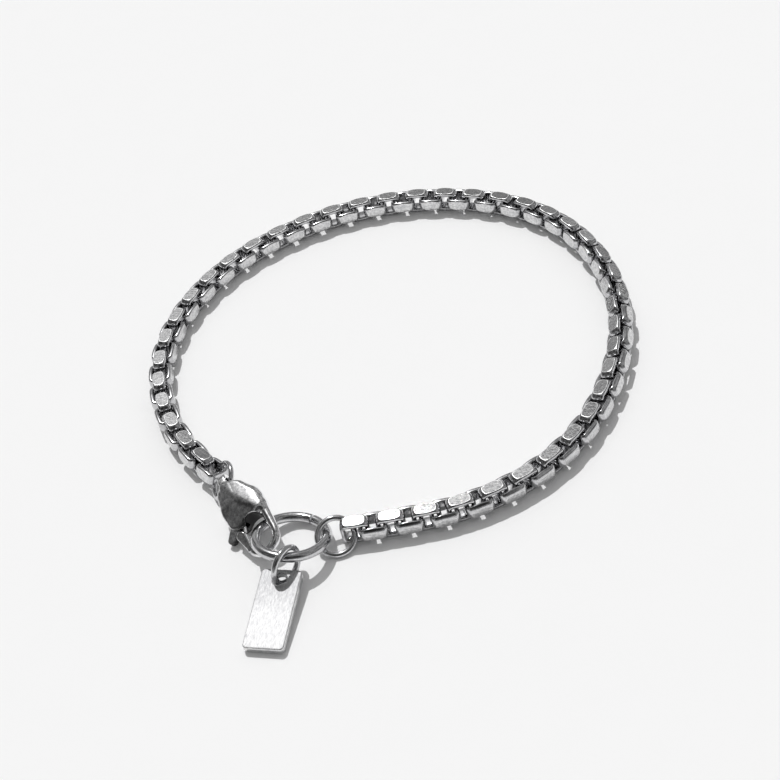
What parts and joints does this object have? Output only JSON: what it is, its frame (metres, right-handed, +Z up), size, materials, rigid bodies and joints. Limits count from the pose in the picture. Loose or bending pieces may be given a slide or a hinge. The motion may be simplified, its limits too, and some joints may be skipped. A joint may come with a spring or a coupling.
{
  "type": "chain bracelet",
  "caption": "Closed box-chain bracelet lying on a surface, with a lobster clasp hooked into a large ring, small jump rings and a plain rectangular tag.",
  "frame": {"origin": "middle of the bounding box as seen from above, on the surface that the bracelet lies on", "axes": "+Z up from the surface, +Y away from the camera of the picture, +X to its right"},
  "size_m": [0.0634, 0.0752, 0.0049],
  "materials": {
    "chain_steel": "satin, fine dimples on the flats",
    "ring_steel": "polished",
    "clasp_steel": "polished",
    "tag_steel": "brushed"
  },
  "bodies": {
    "bracelet": {"chain": "chain_steel", "end_ring": "ring_steel", "clasp_body": "clasp_steel", "clasp_pin": "clasp_steel", "big_ring": "ring_steel", "chain_ring": "ring_steel", "tag_ring": "ring_steel", "tag": "tag_steel"},
    "lever": {"clasp_lever": "clasp_steel"}
  },
  "joints": [
    {"name": "lever_hinge", "type": "hinge", "parent": "bracelet", "child": "lever", "pos_m": [-0.02182, -0.01884, 0.00169], "axis": [-0.3967, -0.2549, 0.8818], "range_deg": [0, 10], "stiffness_Nm_per_rad": 0.004, "springref_deg": -5.73}
  ]
}
